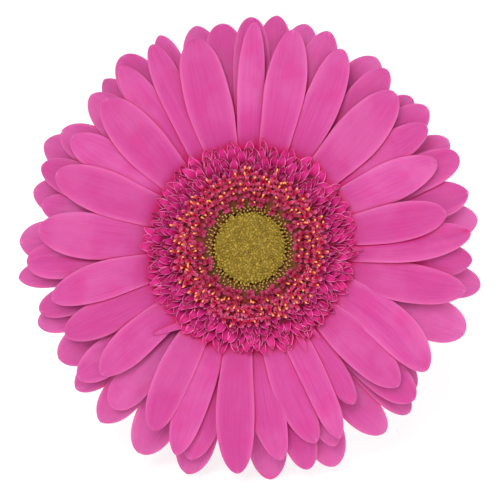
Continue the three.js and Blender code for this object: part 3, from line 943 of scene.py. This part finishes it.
def ring_bud_finish():
    stalk = Finish("ring_bud_skin", {"Subsurface Weight": 0.1, "Subsurface Scale": 0.0005,
                                     "Specular IOR Level": 0.2})
    along = stalk.mark("along")
    grain = stalk.noise(stalk.where(), 3000.0, 3.0)
    base = stalk.blend(stalk.spread(along, 0.55, 0.95), colour(98, 44, 20), colour(186, 150, 78))
    base = stalk.blend(stalk.spread(grain, 0.4, 0.7, 0, 0.3), base, colour(150, 100, 44))
    stalk.finish_with(base, stalk.spread(grain, 0.3, 0.7, 0.5, 0.7), grain, 0.0001)
    return stalk


def field_height(r):
    """The bud field is a low cushion with a slight dip in its middle."""
    return 9.0 - 0.9 * (r / BUD_FIELD) ** 3 - 0.35 * np.exp(-(r / 1.6) ** 2)


def make_buds():
    chance = random.Random(73)
    cushion = Bunch()
    turn = np.linspace(0, 2 * math.pi, CUSHION_SIDES, endpoint=False)
    skirt = [(5.0, 1.4), (8.0, 7.4)] + [(r, field_height(r) - 0.25) for r in
                                        (8.2, 7.4, 6.2, 5, 3.8, 2.6, 1.4, 0.4)]
    rings = [np.stack([r * np.sin(turn), r * np.cos(turn), np.full(CUSHION_SIDES, z)], 1)
             for r, z in skirt]
    cushion.add(on_part(np.concatenate(rings)), ring_faces(len(skirt), CUSHION_SIDES))
    for k in range(BUD_COUNT):
        r = BUD_FIELD * math.sqrt((k + 0.5) / BUD_COUNT)
        azimuth = k * GOLDEN_ANGLE
        way = outward_at(azimuth)
        foot = way * r + [chance.gauss(0, 0.1), chance.gauss(0, 0.1),
                          field_height(r) - 0.7 + chance.gauss(0, 0.13)]
        size = BUD_RADIUS * chance.uniform(0.8, 1.2)
        tilt = way * (0.1 + 0.35 * (r / BUD_FIELD) ** 3) + [chance.gauss(0, 0.15),
                                                           chance.gauss(0, 0.15), 1]
        top = BUD_HEIGHT * chance.uniform(0.9, 1.25)
        profile = [(size, 0), (size * 1.08, top * 0.5), (size * 0.9, top * 0.78),
                   (size * 0.55, top * 0.94), (size * 0.18, top)]
        add_peg(cushion, foot, tilt, profile, BUD_SIDES, chance.random())
    cushion.piece("closed_buds", bud_finish(), "bud_green", "disc_buds")
    ring = Bunch()
    for radius, count, height in RING_BUDS:
        for k in range(count):
            azimuth = 2 * math.pi * (k + chance.uniform(-0.2, 0.2)) / count + radius
            way = outward_at(azimuth)
            r = radius + chance.gauss(0, 0.14)
            foot = way * (r - 1.2) + [0, 0, RING_BUD_FOOT]
            top = height - RING_BUD_FOOT + chance.gauss(0, 0.15)
            profile = [(0.16, 0), (0.18, top * 0.8), (0.21, top * 0.93), (0.12, top)]
            add_peg(ring, foot, way * 0.3 + [0, 0, 1], profile, BUD_SIDES, chance.random())
    ring.piece("ring_buds", ring_bud_finish(), "bud_green", "disc_buds")


make_buds()


# ---- Table, light and camera ----
# The flower lies on a plain white floor that sweeps up all round it into a low backdrop. One
# softbox over the camera and a weaker one to its right light it, and the white air fills in.
CAMERA_DISTANCE = 0.7
CAMERA_DROP = 0.0005
VIEW_WIDTH = 0.1193
SENSOR_WIDTH = 36
KEY_POWER = 9.9
FILL_POWER = 3
AIR_LIGHT = 0.52


def make_sweep():
    """A white floor that curves up into a low backdrop all round the flower."""
    wall, bend, top, sides = 3.0, 1.0, 1.5, 96
    cove = [(wall - bend + bend * math.sin(a), bend - bend * math.cos(a))
            for a in np.linspace(0, math.pi / 2, 24)]
    profile = [(0.4, 0.0), *cove, (wall, top)]
    points = [(r * math.cos(a), r * math.sin(a), z) for r, z in profile
              for a in np.linspace(0, 2 * math.pi, sides, endpoint=False)]
    mesh = bpy.data.meshes.new("studio_sweep")
    mesh.from_pydata(points, [], ring_faces(len(profile), sides, tip_cap=False))
    mesh.shade_smooth()
    paper = Finish("studio_paper", {"Roughness": 0.9, "Emission Strength": 0.6,
                                    "Emission Color": (1, 1, 1, 1),
                                    "Base Color": (0.55, 0.55, 0.55, 1)})
    mesh.materials.append(paper.material)
    sweep = bpy.data.objects.new("studio_sweep", mesh)
    bpy.context.scene.collection.objects.link(sweep)


def look_along(way, place):
    """A matrix that puts a lamp or camera at a place, looking along a direction."""
    turn = Vector(way).to_track_quat("-Z", "Y").to_matrix().to_4x4()
    return Matrix.Translation(Vector(place)) @ turn


def add_softbox(name, place, size, power):
    """A square lamp at a place in the room, aimed at the bloom."""
    lamp = bpy.data.lights.new(name, "AREA")
    lamp.shape = "SQUARE"
    lamp.size = size
    lamp.energy = power
    box = bpy.data.objects.new(name, lamp)
    bpy.context.scene.collection.objects.link(box)
    box.matrix_world = look_along(unit(HEART - place), place)


make_sweep()
add_softbox("key_softbox", HEART + FACING * 1.1 + UPWARD * 0.35 - RIGHT * 0.2, 0.5, KEY_POWER)
add_softbox("fill_softbox", HEART + [0.9, -0.5, 0.5], 0.7, FILL_POWER)

world = bpy.data.worlds.new("studio_air")
world.use_nodes = True
world.node_tree.nodes["Background"].inputs["Color"].default_value = (1, 1, 1, 1)
world.node_tree.nodes["Background"].inputs["Strength"].default_value = AIR_LIGHT
bpy.context.scene.world = world

lens = bpy.data.cameras.new("camera")
lens.sensor_width = SENSOR_WIDTH
lens.lens = SENSOR_WIDTH * CAMERA_DISTANCE / VIEW_WIDTH
lens.clip_start = 0.01
camera = bpy.data.objects.new("camera", lens)
bpy.context.scene.collection.objects.link(camera)
camera.matrix_world = look_along(-FACING, HEART + FACING * CAMERA_DISTANCE
                                 - UPWARD * CAMERA_DROP)
bpy.context.scene.camera = camera
bpy.context.scene.view_settings.view_transform = "Standard"
